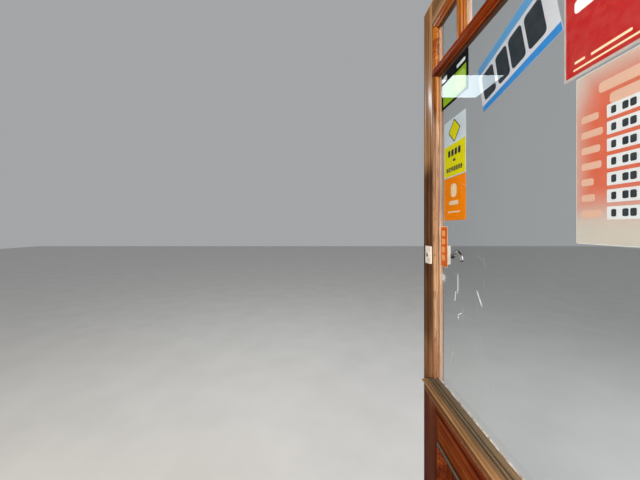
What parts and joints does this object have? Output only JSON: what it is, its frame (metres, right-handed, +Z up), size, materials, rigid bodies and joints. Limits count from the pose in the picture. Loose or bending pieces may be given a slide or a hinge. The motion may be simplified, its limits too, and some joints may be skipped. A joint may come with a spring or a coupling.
{
  "type": "half-glazed timber shop door in its frame",
  "caption": "Half-glazed varnished timber shop door with a transom of small top lights, hung on butt hinges in a rebated frame, with a rim latch and lever.",
  "frame": {"origin": "on the back face of the hinge jamb, at floor level and at the middle of the frame's depth", "axes": "+X out of the hinge jamb's back into the wall, +Y into the shop, +Z up"},
  "size_m": [0.99, 0.986, 2.216],
  "materials": {
    "stile_hardwood": "glossy varnish over reddish hardwood, worn and scratched",
    "rail_hardwood": "glossy orange-brown varnish",
    "transom_hardwood": "dark red-brown varnish",
    "moulding_hardwood": "orange varnish, rubbed pale along its edges",
    "bead_hardwood": "varnished bead behind the glass",
    "panel_hardwood": "glossy red-brown varnish",
    "weathered_sill": "worn varnish, weathered to tan and grey",
    "frame_hardwood": "varnished hardwood",
    "threshold_hardwood": "trodden hardwood, varnish worn off",
    "clear_glass": "clear float glass, lightly scratched",
    "hinge_steel": "plain steel, dulled",
    "painted_latch": "pale enamel on a cast case",
    "satin_plate": "satin nickel",
    "lock_brass": "dull brass",
    "lever_chrome": "polished chrome",
    "sign_vinyl": "plain printed vinyl signs and stickers on the glass"
  },
  "bodies": {
    "frame": {"hinge_jamb": "frame_hardwood", "latch_jamb": "frame_hardwood", "frame_head": "frame_hardwood", "threshold": "threshold_hardwood", "hinge_stop": "frame_hardwood", "latch_stop": "frame_hardwood", "head_stop": "frame_hardwood", "frame_hinge_leaf_top": "hinge_steel", "frame_hinge_leaf_middle": "hinge_steel", "frame_hinge_leaf_bottom": "hinge_steel", "hinge_pin_top": "hinge_steel", "hinge_pin_middle": "hinge_steel", "hinge_pin_bottom": "hinge_steel", "latch_keep": "painted_latch"},
    "leaf": {"hinge_stile": "stile_hardwood", "leading_stile": "stile_hardwood", "top_rail": "rail_hardwood", "transom_bar": "transom_hardwood", "glazing_bar_1": "moulding_hardwood", "glazing_bar_2": "moulding_hardwood", "glazing_bar_3": "moulding_hardwood", "lock_rail": "rail_hardwood", "bottom_rail": "rail_hardwood", "sill_moulding": "weathered_sill", "lower_panel": "panel_hardwood", "panel_moulding": "moulding_hardwood", "panel_beads": "bead_hardwood", "pane_moulding": "moulding_hardwood", "top_light_moulding": "moulding_hardwood", "pane_beads": "bead_hardwood", "top_light_beads": "bead_hardwood", "main_pane": "clear_glass", "top_pane_1": "clear_glass", "top_pane_2": "clear_glass", "top_pane_3": "clear_glass", "top_pane_4": "clear_glass", "door_hinge_leaf_top": "hinge_steel", "door_hinge_leaf_middle": "hinge_steel", "door_hinge_leaf_bottom": "hinge_steel", "latch_case": "painted_latch", "cylinder_plate": "painted_latch", "cylinder": "satin_plate"},
    "lever": {"lever_handle": "lever_chrome"},
    "bolt": {"latch_bolt": "lock_brass"}
  },
  "joints": [
    {"name": "leaf_swing", "type": "hinge", "parent": "frame", "child": "leaf", "pos_m": [-0.0595, 0.054, 0], "axis": [0, 0, 1], "range_deg": [-20, 90]},
    {"name": "lever_turn", "type": "hinge", "parent": "leaf", "child": "lever", "pos_m": [-0.038, 0.8935, 1.252], "axis": [1, 0, 0], "range_deg": [0, 40], "stiffness_Nm_per_rad": 0.4, "springref_deg": -22.92},
    {"name": "latch_slide", "type": "slide", "parent": "leaf", "child": "bolt", "axis": [0, -1, 0], "range_m": [0, 0.014]}
  ],
  "couplings": [
    {"joint": "latch_slide", "follows": "lever_turn", "m_per_rad": 0.02}
  ]
}
